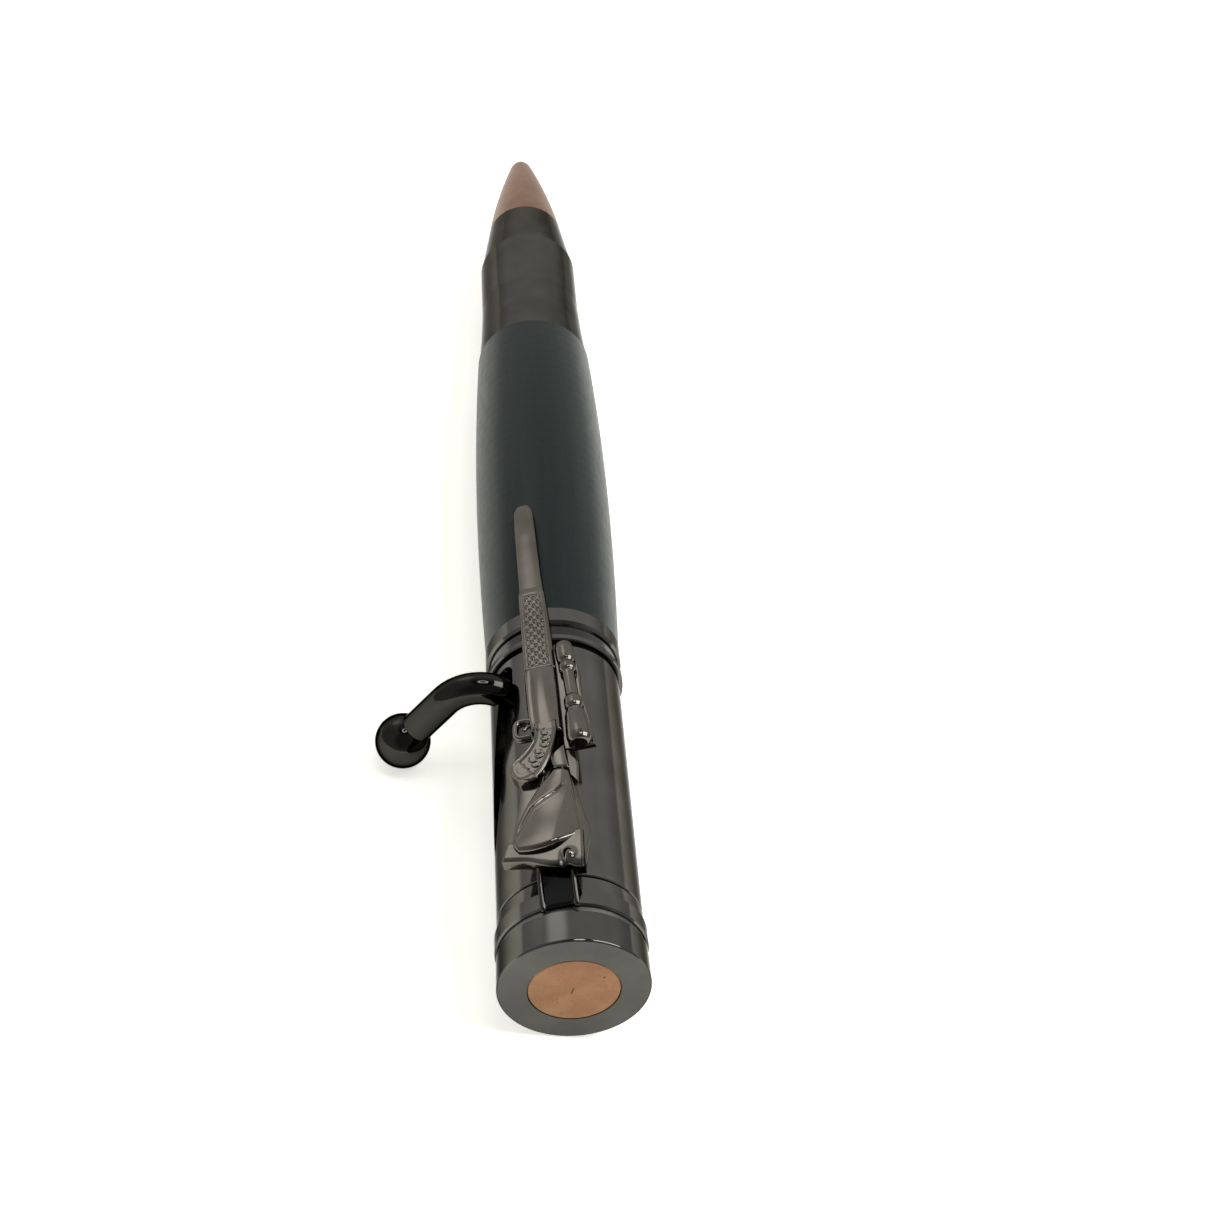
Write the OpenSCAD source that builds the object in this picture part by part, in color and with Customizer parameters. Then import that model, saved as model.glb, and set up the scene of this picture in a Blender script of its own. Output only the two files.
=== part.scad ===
// Bolt-action ballpoint pen, lying on a table with its bolt handle propping it up.
// The pen's axis is X: the flat end of the cap is at X = 0 and the writing point is at +X.
// +Z is up. Angles round the pen are counted from +Z towards +Y, where the handle is.

/* [Bolt mechanism] */
// Length of the bolt housing
housing_l = 28.7; // [26:0.1:36]
// Outside diameter of the bolt housing
housing_d = 12.7; // [12.2:0.1:16]
// Wall thickness of the bolt housing
housing_wall = 1.05; // [0.8:0.05:1.3]
// Travel of the bolt along the pen
bolt_travel = 13; // [8:0.5:13.5]
// Angle of the bolt stud when the point is out
bolt_angle = 60; // [50:1:70]
// Turn of the bolt for each millimetre of travel, in degrees
bolt_twist = 1.9; // [1:0.1:2.6]
// Diameter of the bolt stud
stud_d = 1.9; // [1.5:0.1:2.2]
// Total clearance between the stud and the slot's sides
slot_play = 0.25; // [0.2:0.05:0.5]

/* [Bolt handle] */
// Diameter of the arm
arm_d = 3.1; // [2.6:0.1:3.4]
// Bend radius of the arm's centre line
arm_bend_r = 4.1; // [3.8:0.1:5]
// Distance from the pen's axis to the straight end of the arm
arm_reach = 10.35; // [10:0.05:11.5]
// Length from the stud's line to the centre of the knob
knob_drop = 10.8; // [10:0.1:12]
// Diameter of the ball knob
knob_d = 5.4; // [4.8:0.1:6.4]

/* [End cap and rings] */
// Diameter of the end cap
cap_d = 13.1; // [12.8:0.1:17]
// Length of the end cap
cap_l = 3.35; // [3:0.05:5]
// Diameter of the disc let into the cap
disc_d = 7.94; // [6.5:0.1:9]
// Thickness of the disc
disc_t = 0.6; // [0.4:0.1:0.8]
// Thickness of the clip's washer
washer_t = 0.45; // [0.4:0.05:0.7]
// Length of the retaining ring's wide band
ring_band_l = 1.75; // [1.5:0.05:2.5]
// Length of the retaining ring's flare
ring_flare_l = 1.55; // [1.2:0.05:2.5]

/* [Centre] */
// Length of the spacer between housing and centre ring
spacer_l = 2.9; // [2.6:0.1:4]
// Length of the visible centre ring
centre_ring_l = 2.1; // [1.5:0.1:4]
// Outside diameter of the tenon in front of the housing
tenon_d = 7.7; // [7.5:0.1:7.8]
// Length of the tenon in front of the housing
tenon_l = 10.6; // [8:0.1:12]

/* [Barrel] */
// Length of the barrel sleeve
sleeve_l = 51.2; // [45:0.1:62]
// Diameter of the sleeve at its middle
sleeve_mid_d = 14.44; // [13.4:0.02:17.4]
// Diameter of the sleeve at its ends
sleeve_end_d = 13.24; // [12:0.02:16]
// Outside diameter of the brass tube
tube_d = 9.52; // [9.4:0.02:9.8]
// Wall thickness of the brass tube
tube_wall = 0.46; // [0.4:0.02:0.5]

/* [Nib end] */
// Length of the coupler's rear taper
coupler_taper_l = 10.9; // [8:0.1:14]
// Length of the coupler's plain cylinder
coupler_plain_l = 9.9; // [6:0.1:12]
// Diameter of the coupler's plain cylinder
coupler_d = 11.9; // [11:0.1:12.8]
// Length of the coupler's shoulder
coupler_shoulder_l = 9.2; // [7:0.1:11]
// Diameter where the coupler meets the bullet tip
bullet_base_d = 9.5; // [9.2:0.1:10.4]
// Length of the bullet tip in front of the coupler
bullet_l = 18.1; // [17:0.1:21]
// Diameter of the bullet tip's mouth
bullet_mouth_d = 2.9; // [2.8:0.1:3.4]
// Radius of the ogive's arc
ogive_r = 145; // [120:5:170]

/* [Refill] */
// Full length of the refill
refill_l = 98.1; // [96:0.1:100]
// Diameter of the refill's body
refill_d = 5.86; // [5.6:0.02:5.9]
// Diameter of the refill's nose
nose_d = 2.3; // [2.2:0.05:2.4]
// Length of the refill's nose and cone
nose_l = 15.4; // [14:0.1:16.5]
// Amount that the refill stands out of the bullet tip
point_out = 2.8; // [2:0.1:3.2]

/* [Clip] */
// Angle of the clip round the pen
clip_angle = 22; // [10:1:30]
// Gap between the housing and the underside of the clip
clip_gap = 1.0; // [1:0.05:1.6]
// Thickness of the clip's flat body
clip_t = 1.25; // [1:0.05:1.6]

/* [Hidden] */
$fn = 64;

fixed_gap = 0.02;       // radial gap between pieces that are fixed to each other
run_gap = 0.08;         // radial gap between pieces that move on each other
step_gap = 0.15;        // gap between a fixed edge and a piece that swings past it

// Stations along the pen, from the cap's flat face
washer_x = cap_l;
ring_x = washer_x + washer_t;
housing_x = ring_x + ring_band_l + ring_flare_l + 0.1;
spacer_x = housing_x + housing_l;
centre_x = spacer_x + spacer_l;
sleeve_x = centre_x + centre_ring_l;
coupler_x = sleeve_x + sleeve_l;
plain_x = coupler_x + coupler_taper_l;
shoulder_x = plain_x + coupler_plain_l;
bullet_x = shoulder_x + coupler_shoulder_l;
mouth_x = bullet_x + bullet_l;
point_x = mouth_x + point_out;
refill_x = point_x - refill_l;

// Bolt mechanism
housing_r = housing_d / 2;
bore_r = housing_r - housing_wall;
stud_x = spacer_x - 4.2;
slot_w = stud_d + slot_play;
slot_front_x = spacer_x - 0.8;
wall_mid_r = housing_r - housing_wall / 2;
carriage_r = bore_r - run_gap;
carriage_l = 6.2;
carriage_x = spacer_x - 9.1;
carriage_front_x = carriage_x + carriage_l;
bore_front_x = spacer_x - 0.3;
rod_r = refill_d / 2 + 0.05;
rod_bore_r = rod_r + run_gap;
rod_spigot_r = 1.4;
stud_inner_r = rod_spigot_r + 0.4;
arm_root_r = housing_r + 0.6;
arm_centre_u = arm_reach - arm_bend_r;

// Rings and cap
cap_r = cap_d / 2;
neck_r = 4;
ring_r = cap_r + 0.05;
rim_chamfer = 0.25;
screw_r = 1.25;
screw_head_r = 2.2;
screw_head_t = 0.8;
cap_web_t = 0.8;
plug_front_x = housing_x + 5.6;

// Centre and barrel
tenon_r = tenon_d / 2;
tube_r = tube_d / 2;
tube_bore_r = tube_r - tube_wall;
centre_r = sleeve_end_d / 2 + 0.08;
trim_r = housing_r + 0.35;
trim_x = spacer_x + 0.4;
trim_l = 0.95;
coupler_tenon_l = 10;
refill_way_r = refill_d / 2 + 0.15;

// Nib end
coupler_rear_r = sleeve_end_d / 2 - 0.12;
coupler_r = coupler_d / 2;
bullet_base_r = bullet_base_d / 2;
bullet_tenon_r = bullet_base_r - 0.8;
bullet_tenon_l = 8;
spring_r = 1.9;
spring_wire_r = 0.17;
spring_coils = 11;
spring_seat_x = bullet_x + 11.3;
body_end_x = point_x - nose_l;

// Clip, in a frame turned so that its local Z points away from the pen's axis
clip_low = housing_r + clip_gap;
clip_top = clip_low + clip_t;
clip_root_low = max(ring_r, housing_r) + step_gap;

// Places its children with their own Z axis along the pen
module along_x(x = 0) {
  translate([x, 0, 0])
    rotate([0, 90, 0])
      children();
}

// Places its children with their own Z axis pointing away from the pen's axis at an angle
module at_angle(angle) {
  rotate([-angle, 0, 0])
    children();
}

// A plain tube or rod from one station to another
module tube(x0, x1, outer, inner = 0) {
  along_x(x0)
    difference() {
      cylinder(h = x1 - x0, r = outer);
      if (inner > 0)
        translate([0, 0, -1])
          cylinder(h = x1 - x0 + 2, r = inner);
    }
}

// A turned solid from [station, radius] points
module turned(points) {
  along_x()
    rotate_extrude()
      polygon([for (p = points) [p[1], p[0]]]);
}

// Radius on an arc that bulges from a straight line by its own curvature
function bulge(t, span, radius) = sqrt(pow(radius, 2) - pow(span * (t - 0.5), 2))
  - sqrt(pow(radius, 2) - pow(span / 2, 2));

// One straight leg of the slot, cut square to the wall at its middle angle
module slot_leg(x0, a0, x1, a1) {
  mid = (a0 + a1) / 2;
  y0 = wall_mid_r * sin(a0 - mid);
  y1 = wall_mid_r * sin(a1 - mid);
  at_angle(mid)
    translate([x0, y0, bore_r - 1])
      rotate([0, 0, atan2(y1 - y0, x1 - x0)])
        translate([0, -slot_w / 2, 0])
          cube([norm([x1 - x0, y1 - y0]), slot_w, housing_wall + 3]);
}

// The round end or corner between two legs of the slot
module slot_corner(x, angle) {
  corner_d = slot_w + 0.04;
  translate([x, 0, 0])
    at_angle(angle)
      translate([0, 0, bore_r - 1])
        cylinder(h = housing_wall + 3, d = corner_d);
}

// The bolt's slot: a lock notch at the front, a straight channel and the helical way back
module bolt_slot() {
  legs = 4;
  front_x = slot_front_x - slot_w / 2;
  straight_l = 6;
  notch_angle = 17;
  rear_x = stud_x - bolt_travel;
  rear_angle = bolt_angle + bolt_travel * bolt_twist;
  way = [for (i = [0 : legs])
    [stud_x - bolt_travel * i / legs, bolt_angle + bolt_travel * bolt_twist * i / legs]];
  slot_leg(front_x, bolt_angle, front_x - straight_l, bolt_angle);
  slot_leg(front_x, bolt_angle, front_x, bolt_angle + notch_angle);
  slot_corner(front_x, bolt_angle);
  slot_corner(front_x, bolt_angle + notch_angle);
  slot_corner(front_x - straight_l, bolt_angle);
  for (i = [0 : legs - 1]) {
    slot_leg(way[i][0], way[i][1], way[i + 1][0], way[i + 1][1]);
    slot_corner(way[i + 1][0], way[i + 1][1]);
  }
  slot_leg(rear_x, rear_angle, rear_x - 3.2, rear_angle + 10);
  slot_corner(rear_x - 3.2, rear_angle + 10);
}

module end_cap() {
  color([0.33, 0.33, 0.32])
    turned(concat(
      [[0, disc_d / 2 + fixed_gap]],
      [for (i = [0 : 6])
        [rim_chamfer * (1 - cos(15 * i)), cap_r - rim_chamfer * (1 - sin(15 * i))]],
      [[cap_l - 0.15, cap_r - 0.05], [cap_l, cap_r - 0.25], [cap_l, neck_r + fixed_gap],
       [disc_t + screw_head_t + cap_web_t, neck_r + fixed_gap],
       [disc_t + screw_head_t + cap_web_t, screw_r + fixed_gap],
       [disc_t + screw_head_t, screw_r + fixed_gap],
       [disc_t + screw_head_t, screw_head_r + 0.1], [disc_t, screw_head_r + 0.1],
       [disc_t, disc_d / 2 + fixed_gap]]));
}

module primer_disc() {
  color([0.62, 0.44, 0.32])
    turned([[0, 0], [0, disc_d / 2 - 0.12], [0.1, disc_d / 2], [disc_t, disc_d / 2],
            [disc_t, 0]]);
}

module cap_screw() {
  socket_depth = 0.45;
  color([0.7, 0.7, 0.7])
    difference() {
      union() {
        tube(disc_t, disc_t + screw_head_t, screw_head_r);
        tube(disc_t + screw_head_t, housing_x + 0.4, screw_r);
      }
      along_x(disc_t - 1)
        cylinder(h = 1 + socket_depth, r = 1, $fn = 6);
    }
}

module clip_washer() {
  color([0.3, 0.3, 0.3])
    tube(washer_x, ring_x, ring_r - 0.28, neck_r + fixed_gap);
}

module retaining_ring() {
  band_x = ring_x + ring_band_l;
  joint_w = 0.25;
  joint_depth = 0.4;
  color([0.36, 0.36, 0.35])
    turned([[ring_x, neck_r + fixed_gap], [ring_x, ring_r - 0.15], [ring_x + 0.15, ring_r],
            [band_x - 0.1, ring_r], [band_x, ring_r - 0.12],
            [housing_x - joint_w, housing_r], [housing_x - joint_w, housing_r - joint_depth],
            [housing_x, housing_r - joint_depth], [housing_x, neck_r + fixed_gap]]);
}

module rear_plug() {
  thread_end_x = housing_x + 1.2;
  color([0.8, 0.66, 0.36])
    turned([[disc_t + screw_head_t + cap_web_t, screw_r + fixed_gap],
            [disc_t + screw_head_t + cap_web_t, neck_r], [housing_x, neck_r],
            [housing_x, bore_r - fixed_gap], [plug_front_x, bore_r - fixed_gap],
            [plug_front_x, 0], [thread_end_x, 0], [thread_end_x, screw_r + fixed_gap]]);
}

module bolt_housing() {
  color([0.3, 0.3, 0.29])
    difference() {
      turned([[housing_x, bore_r], [housing_x, housing_r - 0.08],
              [housing_x + 0.08, housing_r], [spacer_x - 0.12, housing_r],
              [spacer_x, housing_r - 0.12], [spacer_x, tenon_r],
              [spacer_x + tenon_l, tenon_r], [spacer_x + tenon_l, rod_bore_r],
              [bore_front_x, rod_bore_r], [bore_front_x, bore_r]]);
      bolt_slot();
    }
}

module bolt_carriage() {
  color([0.78, 0.64, 0.36])
    difference() {
      turned([[carriage_x, 0], [carriage_x, carriage_r - 0.3], [carriage_x + 0.3, carriage_r],
              [carriage_front_x - 0.3, carriage_r], [carriage_front_x, carriage_r - 0.3],
              [carriage_front_x, rod_spigot_r + fixed_gap],
              [carriage_x + 1.4, rod_spigot_r + fixed_gap], [carriage_x + 1.4, 0]]);
      translate([stud_x, 0, 0])
        at_angle(bolt_angle)
          cylinder(h = housing_r, r = stud_d / 2 + fixed_gap);
    }
}

module pusher_rod() {
  color([0.75, 0.75, 0.74])
    turned([[carriage_x + 1.5, 0], [carriage_x + 1.5, rod_spigot_r],
            [carriage_front_x, rod_spigot_r], [carriage_front_x, rod_r],
            [refill_x - 0.4, rod_r], [refill_x, rod_r - 0.4], [refill_x, 0]]);
}

// Places its children in the handle's plane: local X leaves the pen along the stud,
// local Y runs on round the pen towards the knob, and local Z is the pen's axis
module handle_plane() {
  translate([stud_x, 0, 0])
    at_angle(bolt_angle)
      rotate([0, -90, 0])
        mirror([0, 0, 1])
          children();
}

module bolt_handle() {
  knob_seat = sqrt(pow(knob_d / 2, 2) - pow(arm_d / 2, 2)) - 0.3;
  color([0.16, 0.16, 0.15])
    handle_plane() {
      difference() {
        translate([arm_centre_u, arm_bend_r, 0])
          rotate([0, 0, -90])
            rotate_extrude(angle = 90)
              translate([arm_bend_r, 0])
                circle(d = arm_d);
        translate([0, -arm_d, -arm_d])
          cube([arm_root_r, arm_bend_r + arm_d, 2 * arm_d]);
      }
      translate([arm_reach, arm_bend_r, 0])
        rotate([-90, 0, 0])
          cylinder(h = knob_drop - arm_bend_r - knob_seat, d = arm_d);
      translate([stud_inner_r, 0, 0])
        rotate([0, 90, 0])
          cylinder(h = arm_root_r - stud_inner_r + 0.8, d = stud_d);
    }
}

module bolt_knob() {
  knob_seat = sqrt(pow(knob_d / 2, 2) - pow(arm_d / 2, 2)) - 0.3;
  color([0.14, 0.14, 0.13])
    handle_plane()
      translate([arm_reach, knob_drop, 0])
        difference() {
          sphere(d = knob_d);
          translate([0, -knob_seat, 0])
            rotate([90, 0, 0])
              cylinder(h = knob_d, r = arm_d / 2 + fixed_gap);
        }
}

module spacer_ring() {
  low_r = trim_r - 1.1;
  color([0.07, 0.07, 0.07])
    turned([[spacer_x, tenon_r + fixed_gap], [spacer_x, housing_r - 0.25],
            [trim_x, housing_r - 0.25], [trim_x, low_r], [trim_x + trim_l, low_r],
            [trim_x + trim_l, housing_r - 0.12], [centre_x - 0.35, housing_r - 0.02],
            [centre_x, housing_r - 0.2], [centre_x, tenon_r + fixed_gap]]);
}

module trim_ring() {
  low_r = trim_r - 1.1;
  color([0.36, 0.34, 0.31])
    turned([[trim_x + fixed_gap, low_r + fixed_gap], [trim_x + fixed_gap, trim_r - 0.12],
            [trim_x + 0.15, trim_r], [trim_x + trim_l - 0.3, trim_r],
            [trim_x + trim_l - fixed_gap, trim_r - 0.3],
            [trim_x + trim_l - fixed_gap, low_r + fixed_gap]]);
}

module centre_coupler() {
  color([0.4, 0.39, 0.37])
    turned([[centre_x, tenon_r + fixed_gap], [centre_x, centre_r - 0.25],
            [centre_x + 0.25, centre_r - 0.02], [sleeve_x - 0.1, centre_r],
            [sleeve_x, centre_r - 0.06], [sleeve_x, tube_bore_r - fixed_gap],
            [sleeve_x + coupler_tenon_l, tube_bore_r - fixed_gap],
            [sleeve_x + coupler_tenon_l, tenon_r + fixed_gap]]);
}

module barrel_tube() {
  color([0.8, 0.66, 0.36])
    tube(sleeve_x, coupler_x, tube_r, tube_bore_r);
}

module barrel_sleeve() {
  steps = 32;
  half_span = sleeve_l / 2;
  rise = (sleeve_mid_d - sleeve_end_d) / 2;
  arc_r = (pow(half_span, 2) + pow(rise, 2)) / (2 * rise);
  outline = [for (i = [0 : steps])
    [sleeve_x + sleeve_l * i / steps, sleeve_end_d / 2 + bulge(i / steps, sleeve_l, arc_r)]];
  color([0.09, 0.11, 0.11])
    turned(concat([[sleeve_x, tube_r + fixed_gap]], outline,
                  [[coupler_x, tube_r + fixed_gap]]));
}

module nib_coupler() {
  color([0.2, 0.2, 0.19])
    turned([[coupler_x - coupler_tenon_l, refill_way_r],
            [coupler_x - coupler_tenon_l, tube_bore_r - fixed_gap],
            [coupler_x, tube_bore_r - fixed_gap], [coupler_x, coupler_rear_r - 0.1],
            [coupler_x + 0.1, coupler_rear_r],
            [coupler_x + coupler_taper_l / 2, (coupler_rear_r + coupler_r) / 2 - 0.06],
            [plain_x, coupler_r], [shoulder_x, coupler_r], [shoulder_x + 0.1, coupler_r - 0.1],
            [bullet_x, bullet_base_r], [bullet_x, bullet_tenon_r + fixed_gap],
            [bullet_x - bullet_tenon_l, bullet_tenon_r + fixed_gap],
            [bullet_x - bullet_tenon_l, refill_way_r]]);
}

module bullet_tip() {
  steps = 24;
  mouth_r = bullet_mouth_d / 2;
  nose_way_r = nose_d / 2 + run_gap;
  step_x = bullet_x + 6.9;
  outline = [for (i = [0 : steps])
    [bullet_x + bullet_l * i / steps,
     bullet_base_r + (mouth_r - bullet_base_r) * i / steps + bulge(i / steps, bullet_l, ogive_r)]];
  color([0.6, 0.44, 0.33])
    turned(concat([[bullet_x - bullet_tenon_l, refill_way_r],
                   [bullet_x - bullet_tenon_l, bullet_tenon_r], [bullet_x, bullet_tenon_r]],
                  outline,
                  [[mouth_x, nose_way_r], [spring_seat_x, nose_way_r],
                   [spring_seat_x, spring_r + spring_wire_r + 0.15],
                   [step_x, spring_r + spring_wire_r + 0.15], [step_x, refill_way_r]]));
}

module refill_plug() {
  plug_l = 3.6;
  color([0.9, 0.9, 0.88])
    turned([[refill_x, 0], [refill_x, refill_d / 2 - 0.5], [refill_x + 0.4, refill_d / 2 - 0.1],
            [refill_x + plug_l, refill_d / 2 - 0.1],
            [refill_x + plug_l, refill_d / 2 - 0.27], [refill_x + plug_l + 3, refill_d / 2 - 0.27],
            [refill_x + plug_l + 3, 0]]);
}

module refill_tube() {
  color([0.72, 0.73, 0.75])
    tube(refill_x + 3.6, body_end_x - 1.2, refill_d / 2, refill_d / 2 - 0.25);
}

module refill_tip() {
  ball_r = 0.5;
  point_r = ball_r + 0.12;
  color([0.8, 0.7, 0.45])
    turned([[body_end_x - 4, 0], [body_end_x - 4, refill_d / 2 - 0.27],
            [body_end_x - 1.2, refill_d / 2 - 0.27], [body_end_x - 1.2, refill_d / 2],
            [body_end_x - 0.7, refill_d / 2], [body_end_x, refill_d / 2 - 0.6],
            [body_end_x, nose_d / 2], [point_x - 2.2, nose_d / 2],
            [point_x - ball_r, point_r], [point_x - ball_r, 0]]);
}

module refill_ball() {
  ball_r = 0.5;
  color([0.15, 0.15, 0.17])
    intersection() {
      along_x(point_x - ball_r)
        sphere(r = ball_r);
      tube(point_x - ball_r, point_x + 1, 2 * ball_r);
    }
}

// Points of a coil round the pen's axis: one ring of the wire's section at each step
function coil_ring(x, turn) = [for (k = [0 : 7])
  let (side = spring_r + spring_wire_r * cos(45 * k))
  [x + spring_wire_r * sin(45 * k), side * sin(turn), side * cos(turn)]];

module return_spring() {
  steps_a_coil = 18;
  rings = spring_coils * steps_a_coil;
  start_x = body_end_x + spring_wire_r + 0.03;
  pitch_l = spring_seat_x - body_end_x - 2 * spring_wire_r - 0.06;
  points = [for (i = [0 : rings])
    each coil_ring(start_x + pitch_l * i / rings, 360 * i / steps_a_coil)];
  sides = [for (i = [0 : rings - 1], k = [0 : 7])
    [8 * i + k, 8 * i + (k + 1) % 8, 8 * (i + 1) + (k + 1) % 8, 8 * (i + 1) + k]];
  color([0.75, 0.76, 0.78])
    polyhedron(points, concat([[for (k = [7 : -1 : 0]) k]], sides,
                              [[for (k = [0 : 7]) 8 * rings + k]]), convexity = 12);
}

// Clip: a rifle seen from its side, cast in one piece with the post that runs into the groove.
// Its outlines are in the clip's frame: X from the housing's front edge, Y to the handle's side.
barrel_outline = [[18.7, -0.36], [13.1, -0.58], [8.8, -0.76], [5.7, -1], [2.5, -1.24],
                  [-1.4, -1.46], [-5.6, -1.68], [-9.4, -1.8], [-13.7, -1.9], [-13.7, 0.9],
                  [-9.4, 1.25], [-5.6, 1.33], [-1.4, 1.4], [2.5, 1.48], [5.7, 1.52], [8.8, 1.5],
                  [13.1, 1.6], [18.7, 1.62]];
grip_outline = [[-12.5, 0.6], [-13.6, 0.62], [-14.7, 0.8], [-15.7, 1.35], [-16.6, 2.2],
                [-17.15, 2.86], [-18.1, 2.85], [-18.9, 2.4], [-19.48, 1.3], [-19.35, 0.75],
                [-18.3, -0.1], [-16.9, -0.72], [-15.3, -1.2], [-13.9, -1.45], [-12.5, -1.5]];
stock_outline = [[-18.45, -0.9], [-20.2, 0.45], [-22.7, 1.85], [-24.3, 2.45], [-25.7, 2.82],
                 [-26.7, 2.9], [-27.4, 2.5], [-27.7, 0.5], [-27.3, -0.8], [-26.4, -2.6],
                 [-24.9, -2.8], [-22.7, -2.64], [-20.1, -2.4], [-18.7, -2.2]];
wrist_outline = [[-16.5, -0.6], [-18, -0.85], [-18.5, -0.85], [-18.5, -2.25], [-16.7, -2.15],
                 [-15.3, -2]];
flange_outline = [[-17.6, -1.5], [-25, -1.5], [-29.3, -1.9], [-29.4, -3], [-27.5, -3.35],
                  [-25.3, -3.6], [-22.8, -3.1], [-19.9, -2.6], [-17.5, -2.15]];
side_plate_outline = [[-18.4, 2.05], [-18.4, 0.2], [-26.7, 0.2], [-26.7, 3.3], [-25.9, 3.2],
                      [-23.7, 2.85], [-21.4, 2.42]];
pad_outline = [[-26, 3.45], [-26.2, 0.2], [-25.8, -3.1], [-29.8, -3], [-29.6, -2.2],
               [-29, -1.6], [-29.1, -0.7], [-28.5, 0.9], [-28, 1.7], [-27.7, 3.85]];
web_outline = [[-2.8, -1.2], [-5.9, -1.4], [-9.9, -1.6], [-15.7, -1.7], [-17.7, -1.6],
               [-19.7, -2.8], [-17.3, -3], [-15.7, -4.7], [-11.9, -4.35], [-8.9, -3.85],
               [-5.5, -3.75], [-2.9, -3.3]];

// Places its children in the clip's frame, with Z away from the pen's axis
module clip_frame() {
  at_angle(clip_angle)
    translate([spacer_x, 0, 0])
      children();
}

// A flat piece of the clip between two heights
module clip_plate(outline, low, high) {
  translate([0, 0, low])
    linear_extrude(height = high - low)
      polygon(outline);
}

// The scope: two bells, a tube and two rings on an axis slanted like the barrel's edge
module clip_scope() {
  translate([-15.7, -3.45, clip_low + 0.9])
    rotate([0, 0, 4.1])
      rotate([0, 90, 0])
        rotate_extrude()
          polygon([[0, 0], [1.1, 0], [1.16, 0.3], [1.1, 2], [0.84, 4], [0.66, 4.45],
                   [0.82, 4.6], [0.82, 5.6], [0.58, 5.75], [0.56, 9], [0.76, 9.3], [0.8, 10.2],
                   [0.62, 10.4], [0.85, 10.8], [0.88, 12.5], [0.6, 13.3], [0, 13.3]]);
}

// The post, from under the pad over the rings to its tab in the groove
module clip_post() {
  post_low_y = -2.1;
  post_high_y = 1.24;
  tab_rear = washer_x + 0.05 - spacer_x;
  tab_front = ring_x - 0.05 - spacer_x;
  knee_x = ring_x + 1.2 - spacer_x;
  pad_x = -27.4;
  translate([0, post_high_y, 0])
    rotate([90, 0, 0])
      linear_extrude(height = post_high_y - post_low_y)
        polygon([[tab_rear, ring_r - 0.24], [tab_front, ring_r - 0.24],
                 [tab_front, clip_root_low], [knee_x, clip_root_low + 0.05],
                 [pad_x, clip_low], [pad_x, clip_low + 0.7], [pad_x - 1.6, clip_low + 0.6],
                 [knee_x, clip_low + 0.15], [tab_rear, clip_root_low + 0.1]]);
}

// The trigger guard, a squarish loop beside the receiver, with the trigger in it
module clip_guard() {
  translate([-13.9, 0.8, clip_low + 0.2])
    linear_extrude(height = 0.85)
      difference() {
        polygon([[0, 0], [0, 1.4], [0.5, 1.85], [2, 1.85], [2.5, 1.3], [2.5, 0]]);
        polygon([[0.55, 0.3], [0.55, 1.2], [0.75, 1.4], [1.75, 1.4], [1.95, 1.15], [1.95, 0.3]]);
      }
  translate([-12.5, 0.7, clip_low + 0.25])
    rotate([0, 0, 105])
      cube([1.15, 0.25, 0.6]);
}

module clip() {
  muzzle_r = 0.99;
  color([0.36, 0.35, 0.33])
    clip_frame() {
      clip_plate(barrel_outline, clip_low, clip_top);
      translate([18.7, 0.63, clip_low])
        cylinder(h = clip_t, r = muzzle_r);
      clip_plate(grip_outline, clip_low, clip_top + 0.12);
      clip_plate(wrist_outline, clip_low, clip_top - 0.2);
      clip_plate(stock_outline, clip_low, clip_top + 0.35);
      clip_plate(flange_outline, clip_low, clip_top - 0.5);
      clip_plate(side_plate_outline, clip_low, clip_top - 0.6);
      clip_plate(pad_outline, clip_low, clip_top - 0.25);
      clip_plate(web_outline, clip_low, clip_low + 0.5);
      clip_guard();
      clip_scope();
      clip_post();
    }
}

end_cap();
primer_disc();
cap_screw();
clip_washer();
retaining_ring();
rear_plug();
bolt_housing();
bolt_carriage();
pusher_rod();
bolt_handle();
bolt_knob();
spacer_ring();
trim_ring();
centre_coupler();
barrel_tube();
barrel_sleeve();
nib_coupler();
bullet_tip();
refill_plug();
refill_tube();
refill_tip();
refill_ball();
return_spring();
clip();
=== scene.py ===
import math

import bmesh
import bpy
from mathutils import Matrix, Vector


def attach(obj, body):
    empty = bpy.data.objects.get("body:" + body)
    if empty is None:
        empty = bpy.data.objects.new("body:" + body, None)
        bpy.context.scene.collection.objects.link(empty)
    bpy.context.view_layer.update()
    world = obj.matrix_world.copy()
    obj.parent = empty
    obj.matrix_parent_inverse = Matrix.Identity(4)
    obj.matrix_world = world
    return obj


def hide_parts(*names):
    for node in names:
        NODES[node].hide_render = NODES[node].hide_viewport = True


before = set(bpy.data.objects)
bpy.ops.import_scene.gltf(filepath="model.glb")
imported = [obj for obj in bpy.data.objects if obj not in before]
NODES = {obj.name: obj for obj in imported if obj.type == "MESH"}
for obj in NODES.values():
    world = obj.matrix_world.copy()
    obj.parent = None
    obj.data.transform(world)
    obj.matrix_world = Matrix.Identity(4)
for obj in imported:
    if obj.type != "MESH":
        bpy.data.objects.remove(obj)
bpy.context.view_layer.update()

MM = 0.001                      # the scene is in metres
CLIP_TURN = math.radians(22)    # how far the clip stands from the top, round the pen's axis

# ---------------------------------------------------------------- camera
CAMERA_TURN = math.radians(12)  # how far the camera stands from the top, round the pen's axis
CAMERA_SPOT = (-96.317, 0.0, 128.375)                           # mm, before that turn
CAMERA_PITCH, CAMERA_YAW, CAMERA_ROLL = 0.727, -0.041, -0.038   # radians
SENSOR_WIDTH, LENS = 36.0, 55.71                                # mm
NEAREST, FARTHEST = 0.005, 20.0                                 # metres


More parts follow.
